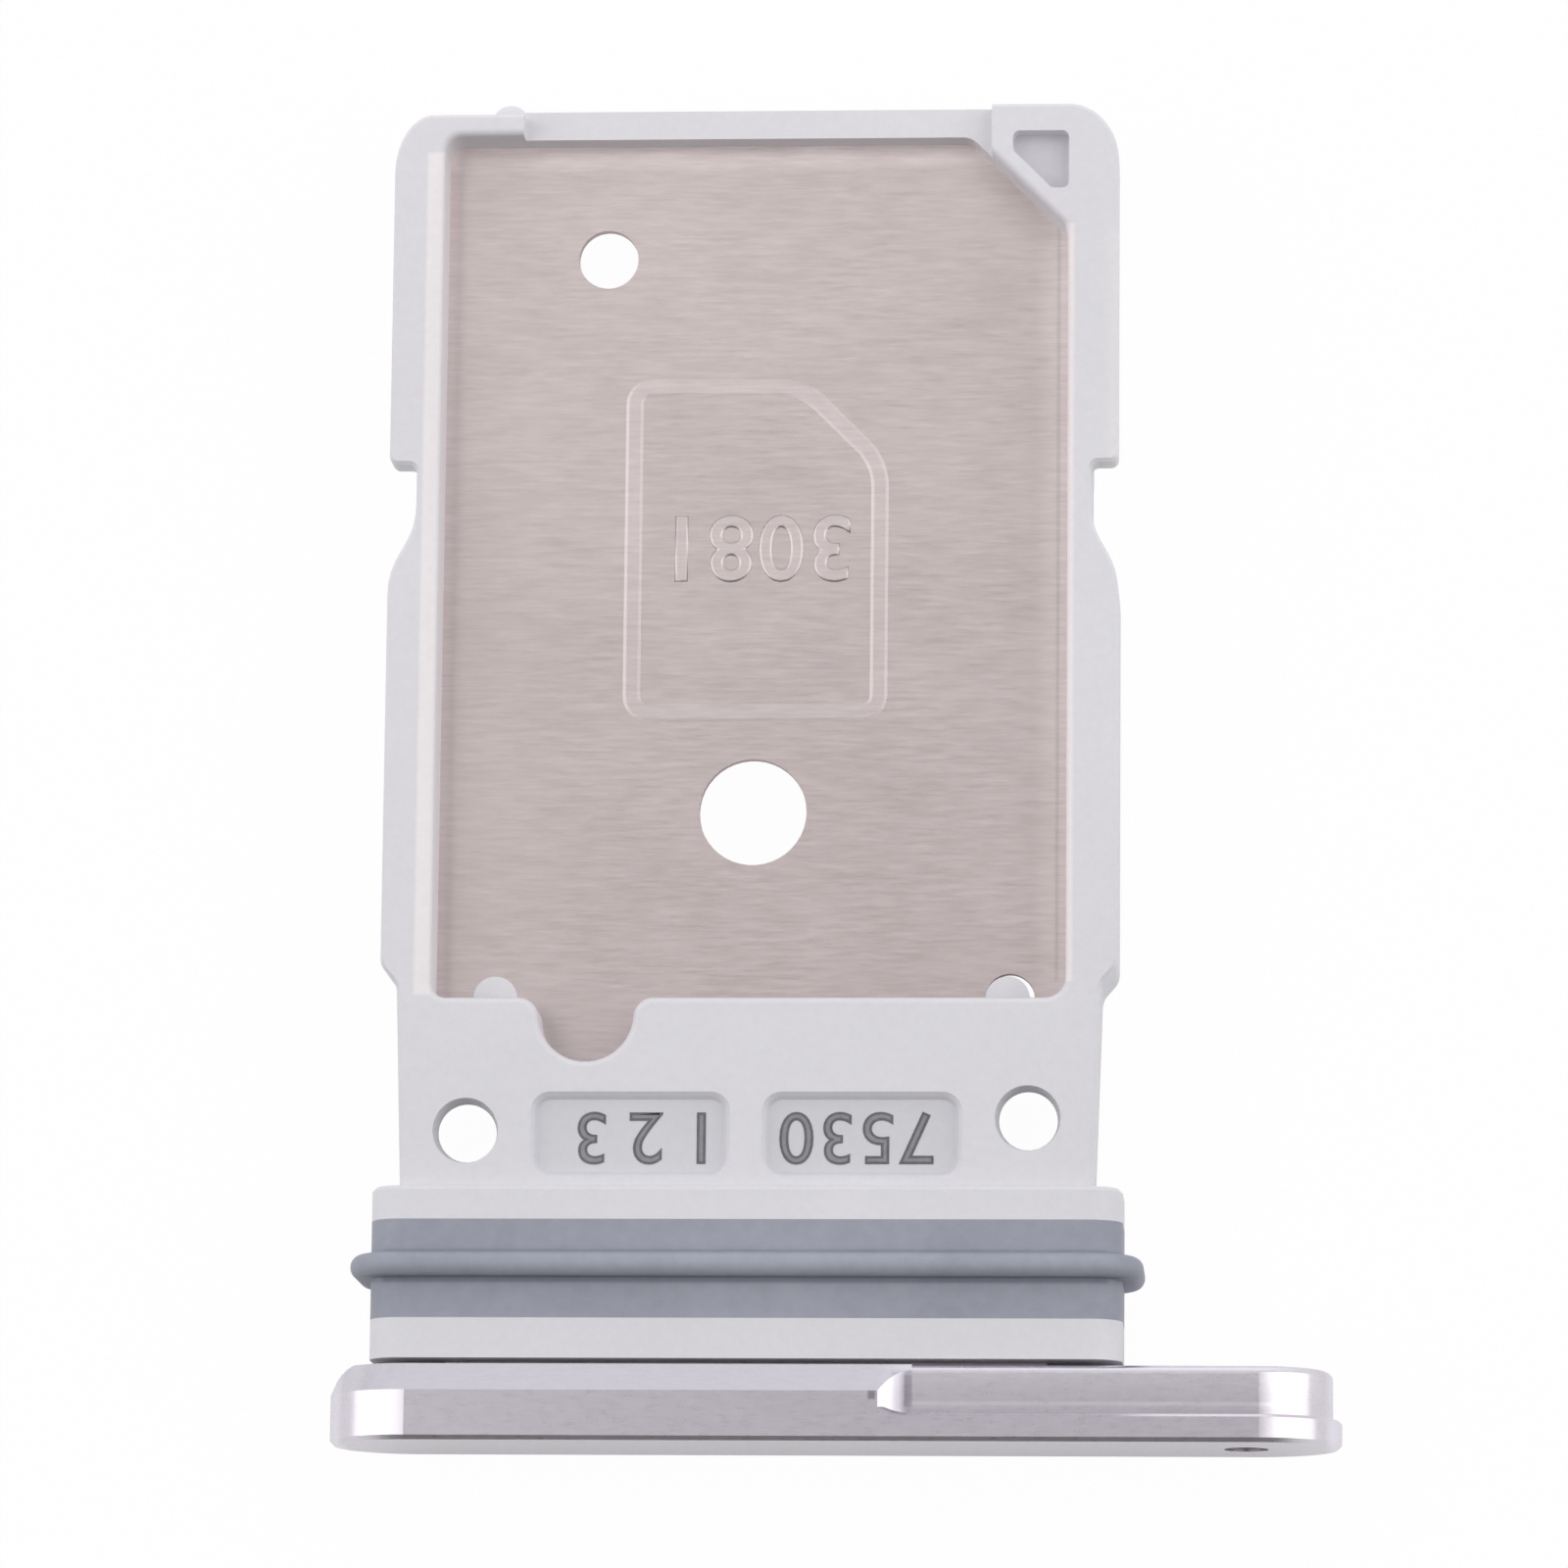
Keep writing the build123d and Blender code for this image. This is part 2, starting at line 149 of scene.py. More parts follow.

# Zones of colour, in millimetres: middle, half size, soft edge and tint. Nearly all of them are painted light
# and shade.
PLASTIC_LIGHT_AND_SHADE_ZONES = (
    # Painted shade on the floors of the two shallow pockets
    ((-1.62, 4.29, 0.68), (1.34, 0.55, 0.06), 0.05, (0.89, 0.9, 0.91)),
    ((1.62, 4.29, 0.68), (1.34, 0.55, 0.06), 0.05, (0.87, 0.88, 0.89)),
    # Painted shade in the corner pocket at the far right
    ((4.05, 18.3, 0.5), (0.36, 0.39, 0.06), 0.05, (0.92, 0.92, 0.93)),
    # Painted highlights on the inner lips of the rails and near the outer edge of the right rail
    ((-4.58, 12.35, 0.8), (0.08, 6.05, 0.3), 0.07, (1.17, 1.14, 1.1)),
    ((4.48, 11.9, 0.8), (0.02, 5.4, 0.3), 0.07, (1.2, 1.13, 1.1)),
    ((5.15, 15.5, 0.8), (0.03, 1.6, 0.3), 0.2, (1.06, 1.04, 1.03)),
)
STEEL_ZONES = (
    # Painted reflections of the seat's far wall and side walls in the sheet
    ((0.0, 18.69, 0.08), (5.0, 0.06, 0.1), 0.4, (1.34, 1.36, 1.37)),
    ((-4.5, 12.2, 0.08), (0.02, 7.0, 0.1), 0.6, (1.13, 1.12, 1.12)),
    ((4.5, 12.2, 0.08), (0.1, 7.0, 0.1), 0.5, (1.27, 1.28, 1.28)),
    # A thin darker line beside the right wall
    ((4.3, 12.1, 0.08), (0.012, 5.5, 0.1), 0.025, (0.88, 0.9, 0.91)),
)
RUBBER_LIGHT_AND_SHADE_ZONES = (
    # Painted shade at the near and far feet of the bead, and a painted highlight along its top
    ((0.0, 2.25, 1.0), (5.6, 0.02, 0.1), 0.05, (0.74, 0.73, 0.76)),
    ((0.0, 2.5, 1.22), (5.6, 0.04, 0.1), 0.08, (1.05, 1.06, 1.06)),
    ((0.0, 2.65, 1.0), (5.6, 0.01, 0.1), 0.03, (0.86, 0.9, 0.9)),
)
ALUMINIUM_ZONES = (
    # A small dark spot just before the ramp
    ((1.80, 0.63, 1.15), (0.03, 0.04, 0.05), 0.04, (0.55, 0.53, 0.55)),
    # Painted dark reflection where the ramp runs out onto the boss
    ((2.30, 0.70, 1.03), (0.04, 0.20, 0.05), 0.03, (0.75, 0.74, 0.77)),
    # Painted highlight fading over the back of the boss
    ((5.30, 1.07, 1.03), (3.0, 0.02, 0.06), 0.5, (1.17, 1.17, 1.17)),
    # Painted highlight at the root of the boss, painted shade at the step and a painted highlight on the
    # flange's back edge
    ((5.30, 0.53, 1.03), (3.0, 0.012, 0.02), 0.03, (1.14, 1.15, 1.15)),
    ((5.30, 0.42, 1.03), (3.0, 0.02, 0.02), 0.03, (0.93, 0.95, 0.95)),
    ((5.30, 0.37, 1.14), (3.0, 0.012, 0.02), 0.02, (1.22, 1.22, 1.22)),
    # Painted shade dimming the right part of the ramp's highlight
    ((2.2, 0.68, 1.08), (0.06, 0.22, 0.1), 0.12, (0.74, 0.74, 0.76)),
    # Painted highlights on the rounded right and left ends
    ((8.26, 0.6, 0.6), (0.1, 0.6, 0.9), 0.14, (1.2, 1.2, 1.22)),
    ((-5.81, 0.6, 0.6), (0.1, 0.6, 0.9), 0.14, (1.18, 1.18, 1.2)),
    # Painted shade inside the eject hole
    ((6.96, 0.56, 0.0), (0.32, 0.5, 0.32), 0.02, (0.4, 0.38, 0.38)),
)

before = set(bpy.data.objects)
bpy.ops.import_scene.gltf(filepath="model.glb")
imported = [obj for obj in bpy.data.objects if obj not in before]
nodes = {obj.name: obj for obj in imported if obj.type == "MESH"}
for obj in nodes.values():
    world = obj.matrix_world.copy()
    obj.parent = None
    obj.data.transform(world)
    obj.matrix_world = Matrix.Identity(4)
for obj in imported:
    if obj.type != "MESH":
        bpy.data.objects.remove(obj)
cad_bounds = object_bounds()


def deselect_all():
    for other in bpy.context.selected_objects:
        other.select_set(False)


def activate(piece):
    deselect_all()
    piece.select_set(True)
    bpy.context.view_layer.objects.active = piece


# Node groups


def new_group(name, inputs, outputs):
    """An empty shader node group with its sockets, and its input and output nodes."""
    group = bpy.data.node_groups.new(name, "ShaderNodeTree")
    for socket_name, socket_type, value in inputs:
        socket = group.interface.new_socket(socket_name, in_out="INPUT", socket_type=socket_type)
        if value is not None:
            socket.default_value = value
    for socket_name, socket_type in outputs:
        group.interface.new_socket(socket_name, in_out="OUTPUT", socket_type=socket_type)
    group_in = group.nodes.new("NodeGroupInput")
    group_out = group.nodes.new("NodeGroupOutput")
    return group, group_in, group_out


def build_grain_group():
    """Brushed grain along X: long fine streaks, as a value around one half."""
    group, group_in, group_out = new_group(
        "brushed_grain",
        [
            ("Place", "NodeSocketVector", None),
            ("Along", "NodeSocketFloat", 500.0),
            ("Across", "NodeSocketFloat", 16000.0),
            ("Patches", "NodeSocketFloat", 250.0),
            ("Patch share", "NodeSocketFloat", 0.25),
        ],
        [("Grain", "NodeSocketFloat")],
    )
    nodes_in_group = group.nodes
    links = group.links
    scale = nodes_in_group.new("ShaderNodeCombineXYZ")
    links.new(group_in.outputs["Along"], scale.inputs["X"])
    links.new(group_in.outputs["Across"], scale.inputs["Y"])
    links.new(group_in.outputs["Across"], scale.inputs["Z"])
    stretched = nodes_in_group.new("ShaderNodeVectorMath")
    stretched.operation = "MULTIPLY"
    links.new(group_in.outputs["Place"], stretched.inputs[0])
    links.new(scale.outputs["Vector"], stretched.inputs[1])
    streaks = nodes_in_group.new("ShaderNodeTexNoise")
    streaks.inputs["Scale"].default_value = 1.0
    streaks.inputs["Detail"].default_value = 5.0
    streaks.inputs["Roughness"].default_value = 0.65
    links.new(stretched.outputs["Vector"], streaks.inputs["Vector"])
    patches = nodes_in_group.new("ShaderNodeTexNoise")
    patches.inputs["Detail"].default_value = 3.0
    links.new(group_in.outputs["Place"], patches.inputs["Vector"])
    links.new(group_in.outputs["Patches"], patches.inputs["Scale"])
    blend = nodes_in_group.new("ShaderNodeMix")
    blend.data_type = "FLOAT"
    links.new(group_in.outputs["Patch share"], blend.inputs["Factor"])
    links.new(streaks.outputs["Fac"], blend.inputs[NUMBER_A])
    links.new(patches.outputs["Fac"], blend.inputs[NUMBER_B])
    links.new(blend.outputs[NUMBER_RESULT], group_out.inputs["Grain"])
    return group


def build_speckle_group():
    """Fine even texture of a moulded or blasted surface, as a value around one half."""
    group, group_in, group_out = new_group(
        "fine_speckle",
        [
            ("Place", "NodeSocketVector", None),
            ("Fine", "NodeSocketFloat", 9000.0),
            ("Broad", "NodeSocketFloat", 600.0),
            ("Broad share", "NodeSocketFloat", 0.4),
        ],
        [("Speckle", "NodeSocketFloat")],
    )
    nodes_in_group = group.nodes
    links = group.links
    fine = nodes_in_group.new("ShaderNodeTexNoise")
    fine.inputs["Detail"].default_value = 4.0
    fine.inputs["Roughness"].default_value = 0.6
    links.new(group_in.outputs["Place"], fine.inputs["Vector"])
    links.new(group_in.outputs["Fine"], fine.inputs["Scale"])
    broad = nodes_in_group.new("ShaderNodeTexNoise")
    broad.inputs["Detail"].default_value = 2.0
    links.new(group_in.outputs["Place"], broad.inputs["Vector"])
    links.new(group_in.outputs["Broad"], broad.inputs["Scale"])
    blend = nodes_in_group.new("ShaderNodeMix")
    blend.data_type = "FLOAT"
    links.new(group_in.outputs["Broad share"], blend.inputs["Factor"])
    links.new(fine.outputs["Fac"], blend.inputs[NUMBER_A])
    links.new(broad.outputs["Fac"], blend.inputs[NUMBER_B])
    links.new(blend.outputs[NUMBER_RESULT], group_out.inputs["Speckle"])
    return group


def build_fade_group():
    """A value that goes evenly from one to another along Y."""
    group, group_in, group_out = new_group(
        "fade_along_tray",
        [
            ("Place", "NodeSocketVector", None),
            ("Near place", "NodeSocketFloat", 0.0),
            ("Far place", "NodeSocketFloat", 0.02),
            ("Near value", "NodeSocketFloat", 1.0),
            ("Far value", "NodeSocketFloat", 1.0),
        ],
        [("Value", "NodeSocketFloat")],
    )
    links = group.links
    parts = group.nodes.new("ShaderNodeSeparateXYZ")
    links.new(group_in.outputs["Place"], parts.inputs["Vector"])
    fade = group.nodes.new("ShaderNodeMapRange")
    links.new(parts.outputs["Y"], fade.inputs["Value"])
    links.new(group_in.outputs["Near place"], fade.inputs["From Min"])
    links.new(group_in.outputs["Far place"], fade.inputs["From Max"])
    links.new(group_in.outputs["Near value"], fade.inputs["To Min"])
    links.new(group_in.outputs["Far value"], fade.inputs["To Max"])
    links.new(fade.outputs["Result"], group_out.inputs["Value"])
    return group


def build_zone_group():
    """Mask of a box-shaped zone with soft edges."""
    group, group_in, group_out = new_group(
        "soft_zone",
        [
            ("Place", "NodeSocketVector", None),
            ("Middle", "NodeSocketVector", None),
            ("Half size", "NodeSocketVector", None),
            ("Edge", "NodeSocketFloat", 0.0001),
        ],
        [("Mask", "NodeSocketFloat")],
    )
    links = group.links
    from_middle = group.nodes.new("ShaderNodeVectorMath")
    from_middle.operation = "SUBTRACT"
    links.new(group_in.outputs["Place"], from_middle.inputs[0])
    links.new(group_in.outputs["Middle"], from_middle.inputs[1])
    reach = group.nodes.new("ShaderNodeVectorMath")
    reach.operation = "ABSOLUTE"
    links.new(from_middle.outputs["Vector"], reach.inputs[0])
    beyond = group.nodes.new("ShaderNodeVectorMath")
    beyond.operation = "SUBTRACT"
    links.new(reach.outputs["Vector"], beyond.inputs[0])
    links.new(group_in.outputs["Half size"], beyond.inputs[1])
    parts = group.nodes.new("ShaderNodeSeparateXYZ")
    links.new(beyond.outputs["Vector"], parts.inputs["Vector"])
    wider = group.nodes.new("ShaderNodeMath")
    wider.operation = "MAXIMUM"
    links.new(parts.outputs["X"], wider.inputs[0])
    links.new(parts.outputs["Y"], wider.inputs[1])
    widest = group.nodes.new("ShaderNodeMath")
    widest.operation = "MAXIMUM"
    links.new(wider.outputs["Value"], widest.inputs[0])
    links.new(parts.outputs["Z"], widest.inputs[1])
    soften = group.nodes.new("ShaderNodeMapRange")
    soften.interpolation_type = "SMOOTHSTEP"
    soften.inputs["To Min"].default_value = 1.0
    soften.inputs["To Max"].default_value = 0.0
    links.new(widest.outputs["Value"], soften.inputs["Value"])
    links.new(group_in.outputs["Edge"], soften.inputs["From Max"])
    links.new(soften.outputs["Result"], group_out.inputs["Mask"])
    return group


brushed_grain = build_grain_group()
fine_speckle = build_speckle_group()
fade_along_tray = build_fade_group()
soft_zone = build_zone_group()


# Materials


def new_material(name):
    """A material with its shader and the object coordinates that its patterns read."""
    material = bpy.data.materials.new(name)
    material.use_nodes = True
    tree = material.node_tree
    shader = tree.nodes["Principled BSDF"]
    place = tree.nodes.new("ShaderNodeTexCoord")
    return material, tree, shader, place.outputs["Object"]


def place_group(tree, group, place, values):
    """A node group in a material, fed with the place and its own values."""
    node = tree.nodes.new("ShaderNodeGroup")
    node.node_tree = group
    tree.links.new(place, node.inputs["Place"])
    for socket_name, value in values.items():
        node.inputs[socket_name].default_value = value
    return node


def spread_value(tree, source, target, low, high):
    """Maps a value around one half onto a range, and feeds a socket with it."""
    spread = tree.nodes.new("ShaderNodeMapRange")
    spread.inputs["From Min"].default_value = NOISE_LOW
    spread.inputs["From Max"].default_value = NOISE_HIGH
    spread.inputs["To Min"].default_value = low
    spread.inputs["To Max"].default_value = high
    tree.links.new(source, spread.inputs["Value"])
    tree.links.new(spread.outputs["Result"], target)


def spread_colour(tree, source, dark, light):
    """Maps a value around one half onto the colours between two."""
    ramp = tree.nodes.new("ShaderNodeValToRGB")
    for stop, position, colour in zip(ramp.color_ramp.elements, (NOISE_LOW, NOISE_HIGH), (dark, light)):
        stop.position = position
        stop.color = colour
    tree.links.new(source, ramp.inputs["Fac"])
    return ramp.outputs["Color"]


def add_bump(tree, source, shader, distance, strength):
    """Lets a value raise and lower the surface."""
    bump = tree.nodes.new("ShaderNodeBump")
    bump.inputs["Strength"].default_value = strength
    bump.inputs["Distance"].default_value = distance
    tree.links.new(source, bump.inputs["Height"])
    tree.links.new(bump.outputs["Normal"], shader.inputs["Normal"])


def multiplied_by(tree, colour):
    """A Mix node that multiplies a colour by what its second colour socket gets."""
    product = tree.nodes.new("ShaderNodeMix")
    product.data_type = "RGBA"
    product.blend_type = "MULTIPLY"
    tree.links.new(colour, product.inputs[COLOUR_A])
    return product


def tint_zone(tree, place, colour, middle, half_size, edge, tint):
    """Multiplies a colour by a tint inside a soft-edged zone, given in millimetres."""
    zone = place_group(
        tree,
        soft_zone,
        place,
        {
            "Middle": [value * MM for value in middle],
            "Half size": [value * MM for value in half_size],
            "Edge": edge * MM,
        },
    )
    tinted = multiplied_by(tree, colour)
    tree.links.new(zone.outputs["Mask"], tinted.inputs["Factor"])
    tinted.inputs[COLOUR_B].default_value = (*tint, 1)
    return tinted.outputs[COLOUR_RESULT]


def tint_zones(tree, place, colour, zones):
    """Tints a colour in each zone of a table."""
    for zone in zones:
        colour = tint_zone(tree, place, colour, *zone)
    return colour


def fade_colour(tree, place, colour, values):
    """Multiplies a colour by a value that changes along the tray."""
    fade = place_group(tree, fade_along_tray, place, values)
    faded = multiplied_by(tree, colour)
    faded.inputs["Factor"].default_value = 1
    tree.links.new(fade.outputs["Value"], faded.inputs[COLOUR_B])
    return faded.outputs[COLOUR_RESULT]


def moulded_plastic():
    """Light grey, with painted light: lighter towards the far end, painted highlights on the edges that catch
    the light, and painted shade on the pocket floors.
    """
    material, tree, shader, place = new_material("moulded_plastic")
    speckle = place_group(tree, fine_speckle, place, {"Fine": 9000.0, "Broad": 300.0, "Broad share": 0.5})
    colour = spread_colour(tree, speckle.outputs["Speckle"], *PLASTIC_COLOURS)
    # Painted light: the plastic is made darker near the face plate and lighter towards the far end
    fade = {"Near place": 1 * MM, "Far place": 19 * MM, "Near value": 0.955, "Far value": 1.04}
    colour = fade_colour(tree, place, colour, fade)
    tree.links.new(tint_zones(tree, place, colour, PLASTIC_LIGHT_AND_SHADE_ZONES), shader.inputs["Base Color"])
    spread_value(tree, speckle.outputs["Speckle"], shader.inputs["Roughness"], low=0.38, high=0.5)
    shader.inputs["Specular IOR Level"].default_value = 0.4
    add_bump(tree, speckle.outputs["Speckle"], shader, distance=0.004 * MM, strength=0.4)
    return material


def brushed_steel(name, colours, roughest, smoothest):
    """Steel brushed across the tray, with painted light: a little lighter towards the far end, and painted
    reflections of the seat's walls.
    """
    material, tree, shader, place = new_material(name)
    shader.inputs["Metallic"].default_value = 1.0
    grain = place_group(tree, brushed_grain, place, {"Along": 2000.0, "Across": 20000.0, "Patches": 400.0})
    colour = spread_colour(tree, grain.outputs["Grain"], *colours)
    # Painted light: the sheet is made darker near the face plate and lighter towards the far end
    fade = {"Near place": 5 * MM, "Far place": 18.5 * MM, "Near value": 0.885, "Far value": 1.07}
    colour = tint_zones(tree, place, fade_colour(tree, place, colour, fade), STEEL_ZONES)
    tree.links.new(colour, shader.inputs["Base Color"])
    spread_value(tree, grain.outputs["Grain"], shader.inputs["Roughness"], low=smoothest, high=roughest)
    add_bump(tree, grain.outputs["Grain"], shader, distance=0.003 * MM, strength=0.5)
    return material


def satin_aluminium():
    """Satin metal of the face plate, with tints where the photo shows them."""
    material, tree, shader, place = new_material("satin_aluminium")
    shader.inputs["Metallic"].default_value = 1.0
    values = {"Along": 4000.0, "Across": 22000.0, "Patches": 6000.0, "Patch share": 0.3}
    grain = place_group(tree, brushed_grain, place, values)
    colour = spread_colour(tree, grain.outputs["Grain"], *ALUMINIUM_COLOURS)
    # Tints on the face plate: painted highlights, painted reflections and painted shade, and one small dark
    # spot before the ramp
    colour = tint_zones(tree, place, colour, ALUMINIUM_ZONES)
    tree.links.new(colour, shader.inputs["Base Color"])
    spread_value(tree, grain.outputs["Grain"], shader.inputs["Roughness"], low=0.26, high=0.31)
    return material


def seal_rubber():
    """Blue-grey rubber of the seal, with painted shade beside its bead and a painted highlight on its top."""
    material, tree, shader, place = new_material("seal_rubber")
    speckle = place_group(tree, fine_speckle, place, {"Fine": 5000.0, "Broad": 500.0, "Broad share": 0.6})
    colour = spread_colour(tree, speckle.outputs["Speckle"], *RUBBER_COLOURS)
    tree.links.new(tint_zones(tree, place, colour, RUBBER_LIGHT_AND_SHADE_ZONES), shader.inputs["Base Color"])
    spread_value(tree, speckle.outputs["Speckle"], shader.inputs["Roughness"], low=0.45, high=0.6)
    shader.inputs["Specular IOR Level"].default_value = 0.35
    add_bump(tree, speckle.outputs["Speckle"], shader, distance=0.01 * MM, strength=0.5)
    return material


def painted_groove_shade(name, colours):
    """Painted shade of a number cut into the moulding: a dark grey standing in for the shade in its groove.
    """
    material, tree, shader, place = new_material(name)
    speckle = place_group(tree, fine_speckle, place, {"Fine": 12000.0, "Broad": 2500.0, "Broad share": 0.4})
    tree.links.new(spread_colour(tree, speckle.outputs["Speckle"], *colours), shader.inputs["Base Color"])
    shader.inputs["Roughness"].default_value = 0.7
    return material


plastic = moulded_plastic()
steel = brushed_steel("brushed_steel", STEEL_COLOURS, roughest=0.46, smoothest=0.36)
stamped_steel = brushed_steel("stamped_steel", STAMPED_STEEL_COLOURS, roughest=0.52, smoothest=0.42)
aluminium = satin_aluminium()
rubber = seal_rubber()
groove_wall_shade = painted_groove_shade("groove_wall_shade", GROOVE_WALL_SHADE_COLOURS)
groove_floor_shade = painted_groove_shade("groove_floor_shade", GROOVE_FLOOR_SHADE_COLOURS)

for node_name, material in (
    ("frame", plastic),
    ("card_plate", steel),
    ("seal", rubber),
    ("face_plate", aluminium),
):
    mesh = nodes[node_name].data
    mesh.materials.clear()
    mesh.materials.append(material)
    activate(nodes[node_name])
    bpy.ops.object.shade_smooth_by_angle(angle=SMOOTH_ANGLE)


# Stamped card outline, numbers and finer cut frame


def stamp_outline(surface):
    """Low raised outline of a card with one clipped corner."""
    deselect_all()
    bpy.ops.mesh.primitive_plane_add(size=1)
    piece = bpy.context.active_object
    piece.name = "stamped_outline"
    bpy.ops.object.mode_set(mode="EDIT")
    bpy.ops.transform.resize(value=(STAMP_RIGHT - STAMP_LEFT, STAMP_FAR - STAMP_NEAR, 1))
    middle = ((STAMP_LEFT + STAMP_RIGHT) / 2, (STAMP_NEAR + STAMP_FAR) / 2, surface)
    bpy.ops.transform.translate(value=middle)
    bpy.ops.object.mode_set(mode="OBJECT")
    for vertex in piece.data.vertices:
        vertex.select = vertex.co.x > middle[0] and vertex.co.y > middle[1]
    for edge in piece.data.edges:
        edge.select = False
    for face in piece.data.polygons:
        face.select = False
    bpy.ops.object.mode_set(mode="EDIT")
    bpy.ops.mesh.select_mode(type="VERT")
    bpy.ops.mesh.bevel(offset=STAMP_CLIP, segments=1, affect="VERTICES")
    bpy.ops.mesh.select_all(action="SELECT")
    bpy.ops.mesh.bevel(offset=STAMP_CORNER, segments=6, affect="VERTICES")
    bpy.ops.mesh.select_mode(type="FACE")
    bpy.ops.mesh.select_all(action="SELECT")
    bpy.ops.mesh.inset(thickness=STAMP_LINE)
    bpy.ops.mesh.delete(type="FACE")
    bpy.ops.mesh.select_all(action="SELECT")
    bpy.ops.mesh.extrude_region_move(TRANSFORM_OT_translate={"value": (0, 0, STAMP_START_THICKNESS)})
    bpy.ops.mesh.inset(thickness=STAMP_SLOPE, depth=STAMP_RELIEF)
    bpy.ops.mesh.select_all(action="SELECT")
    bpy.ops.mesh.normals_make_consistent(inside=False)
    bpy.ops.object.mode_set(mode="OBJECT")
    return piece


def number_piece(name, text, height, spacing, weight, place, relief, slope=0):
    """A number lying on a surface, its head towards the face plate, as a thin solid."""
    curve = bpy.data.curves.new(name, "FONT")
    curve.body = text
    curve.size = height / FIGURE_SHARE
    curve.align_x = "CENTER"
    curve.align_y = "CENTER"
    curve.offset = weight - slope
    curve.space_character = spacing
    curve.resolution_u = 6
    curve.extrude = relief
    curve.bevel_depth = slope
    curve.bevel_resolution = 0
    piece = bpy.data.objects.new(name, curve)
    bpy.context.scene.collection.objects.link(piece)
    activate(piece)
    bpy.ops.object.convert(target="MESH")
    piece.data.transform(Matrix.Diagonal((1, 1, relief / (relief + slope), 1)))
    piece.data.transform(Matrix.Rotation(math.pi, 4, "Z"))
    piece.data.transform(Matrix.Translation(Vector(place)))
    return piece


def dress(piece, material):
    """Gives a new piece its material, and its place on the one body."""
    piece.data.materials.clear()
    piece.data.materials.append(material)
    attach(piece, "root")


def block(low, high):
    """A plain block between two corners."""
    deselect_all()
    bpy.ops.mesh.primitive_cube_add(size=1)
    piece = bpy.context.active_object
    bpy.ops.object.mode_set(mode="EDIT")
    bpy.ops.transform.resize(value=high - low)
    bpy.ops.transform.translate(value=(low + high) / 2)
    bpy.ops.object.mode_set(mode="OBJECT")
    return piece


def hole_cone(x, y):
    """A cone that widens downwards, for the lower part of a deck hole."""
    deselect_all()
    bpy.ops.mesh.primitive_cone_add(
        vertices=HOLE_CONE_SIDES,
        radius1=HOLE_CONE_BOTTOM_RADIUS,
        radius2=HOLE_CONE_TOP_RADIUS,
        depth=HOLE_CONE_TOP - HOLE_CONE_BOTTOM,
        location=(x, y, (HOLE_CONE_TOP + HOLE_CONE_BOTTOM) / 2),
    )
    return bpy.context.active_object


def merge_close_vertices(piece):
    """Joins the vertices of a mesh that lie in the same place."""
    activate(piece)
    bpy.ops.object.mode_set(mode="EDIT")
    bpy.ops.mesh.select_all(action="SELECT")
    bpy.ops.mesh.remove_doubles(threshold=MERGE_DISTANCE)
    bpy.ops.object.mode_set(mode="OBJECT")


def frame_cut_finer():
    """The moulded frame, with thinner outer steps on its far rails and wider undersides of its deck holes."""
    piece = bpy.data.objects.new("moulded_frame", nodes["frame"].data.copy())
    bpy.context.scene.collection.objects.link(piece)
    activate(piece)
    bpy.ops.mesh.customdata_custom_splitnormals_clear()
    merge_close_vertices(piece)
    past_corner = 2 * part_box("frame")[1]
    cutters = [hole_cone(x, y) for x, y in DECK_HOLES]
    for low_x, high_x in ((STEP_SIDE, past_corner.x), (-past_corner.x, -STEP_SIDE)):
        low = Vector((low_x, STEP_CUT_NEAR, -past_corner.z))
        cutters.append(block(low, Vector((high_x, past_corner.y, STEP_BOTTOM))))
    activate(cutters[0])
    for cutter in cutters:
        cutter.select_set(True)
    bpy.ops.object.join()
    cut = piece.modifiers.new("cut", "BOOLEAN")
    cut.operation = "DIFFERENCE"
    cut.solver = "EXACT"
    cut.object = cutters[0]
    activate(piece)
    bpy.ops.object.modifier_apply(modifier="cut")
    bpy.data.objects.remove(cutters[0], do_unlink=True)
    merge_close_vertices(piece)
    bpy.ops.object.shade_smooth_by_angle(angle=SMOOTH_ANGLE)
    return piece


moulded_frame = frame_cut_finer()
dress(moulded_frame, plastic)
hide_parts("frame")

sheet_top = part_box("card_plate")[1].z
dress(stamp_outline(sheet_top), stamped_steel)
stamped_number = number_piece(
    "stamped_number",
    STAMP_NUMBER,
    STAMP_NUMBER_HEIGHT,
    STAMP_NUMBER_SPACING,
    STAMP_NUMBER_WEIGHT,
    ((STAMP_LEFT + STAMP_RIGHT) / 2, STAMP_NUMBER_Y, sheet_top),
    STAMP_RELIEF,
    STAMP_NUMBER_SLOPE,
)
dress(stamped_number, stamped_steel)
# The pocket numbers are thin dark solids whose grey is painted shade of their grooves
for side, text, x, spacing in POCKET_NUMBERS:
    for part, weight, relief, material in (
        ("wall", WALL_WEIGHT, WALL_RELIEF, groove_wall_shade),
        ("floor", FLOOR_WEIGHT, FLOOR_RELIEF, groove_floor_shade),
    ):
        place = (x, POCKET_NUMBER_Y, POCKET_FLOOR)
        number = number_piece(
            f"{side}_number_{part}", text, POCKET_NUMBER_HEIGHT, spacing, weight, place, relief
        )
        dress(number, material)


# Camera, light and floor


